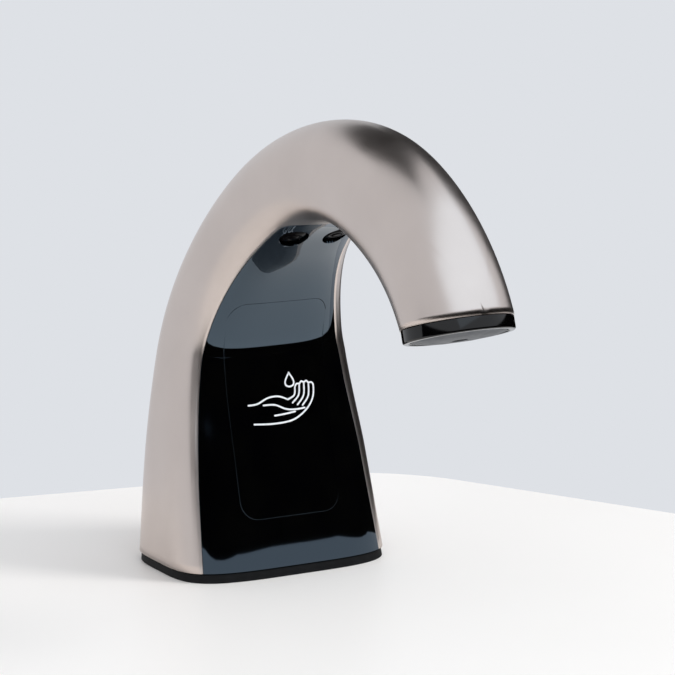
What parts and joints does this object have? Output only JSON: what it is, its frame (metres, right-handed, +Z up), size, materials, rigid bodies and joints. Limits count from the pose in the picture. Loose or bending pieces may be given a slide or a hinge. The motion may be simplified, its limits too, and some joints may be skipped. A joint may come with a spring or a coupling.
{
  "type": "automatic soap dispenser",
  "caption": "Arched deck-mounted automatic soap dispenser: plated spout with a black front cover, battery door, sensor eyes, gear pump, motor, cells and nozzle.",
  "frame": {"origin": "middle of the foot on the deck, at the underside of the base gasket", "axes": "+Z up from the deck, -Y the way the spout reaches out to the user, +X across it to the right as the user sees it"},
  "size_m": [0.0716, 0.1494, 0.1382],
  "materials": {
    "satin_nickel": "satin nickel plate on a die casting",
    "black_gloss": "polished black moulding",
    "smoked_lens": "polished infrared window moulding",
    "grey_moulding": "satin grey moulding",
    "black_moulding": "plain black moulding",
    "white_moulding": "natural acetal",
    "rubber": "moulded black rubber",
    "zinc": "bare die casting",
    "brass": "turned",
    "steel": "bright zinc plate",
    "motor_steel": "pressed steel can",
    "clear_tube": "milky flexible tube",
    "cell_jacket": "plain printed film",
    "board_green": "solder mask",
    "wire_red": "PVC insulation"
  },
  "bodies": {
    "housing": {"spout_shell": "satin_nickel", "front_cover": "black_gloss", "nozzle_cap": "black_gloss", "nozzle_plate": "grey_moulding", "nozzle_insert": "white_moulding", "outlet_valve": "rubber", "base_gasket": "rubber", "base_plate": "zinc", "base_screw_1": "steel", "base_screw_2": "steel", "base_screw_3": "steel", "base_screw_4": "steel", "stud_insert_left": "brass", "stud_insert_right": "brass", "inlet_spigot": "black_moulding", "inlet_seal": "rubber", "pump_body": "black_moulding", "pump_cover": "black_moulding", "pump_screw_1": "steel", "pump_screw_2": "steel", "pump_screw_3": "steel", "pump_screw_4": "steel", "idler_pin": "steel", "gear_motor": "motor_steel", "battery_tray": "black_moulding", "tray_screw_left": "steel", "tray_screw_right": "steel", "cell_left": "cell_jacket", "cell_right": "cell_jacket", "contact_low_left": "steel", "contact_low_right": "steel", "contact_high_left": "steel", "contact_high_right": "steel", "contact_spring_left": "steel", "contact_spring_right": "steel", "lens_left": "smoked_lens", "lens_right": "smoked_lens", "sensor_carrier": "black_moulding", "ir_emitter": "clear_tube", "ir_receiver": "smoked_lens", "control_board": "board_green", "board_screw": "steel", "board_chip": "black_moulding", "board_capacitor": "black_moulding", "board_connector": "black_moulding", "delivery_tube": "clear_tube", "motor_lead_1": "wire_red", "motor_lead_2": "wire_red", "battery_lead_1": "wire_red", "battery_lead_2": "wire_red"},
    "door": {"battery_door": "black_gloss"},
    "pump_drive": {"drive_shaft": "steel", "drive_gear": "white_moulding"},
    "pump_idler": {"idler_gear": "white_moulding"}
  },
  "joints": [
    {"name": "door_pull", "type": "slide", "parent": "housing", "child": "door", "axis": [0, -1, 0], "range_m": [0, 0.05]},
    {"name": "drive_spin", "type": "hinge", "parent": "housing", "child": "pump_drive", "pos_m": [-0.0045, 0.0154, 0.012], "axis": [0, 0, 1], "continuous": true},
    {"name": "idler_spin", "type": "hinge", "parent": "housing", "child": "pump_idler", "pos_m": [0.0045, 0.0154, 0.012], "axis": [0, 0, 1], "continuous": true}
  ],
  "couplings": [
    {"joint": "idler_spin", "follows": "drive_spin", "ratio": -1}
  ]
}
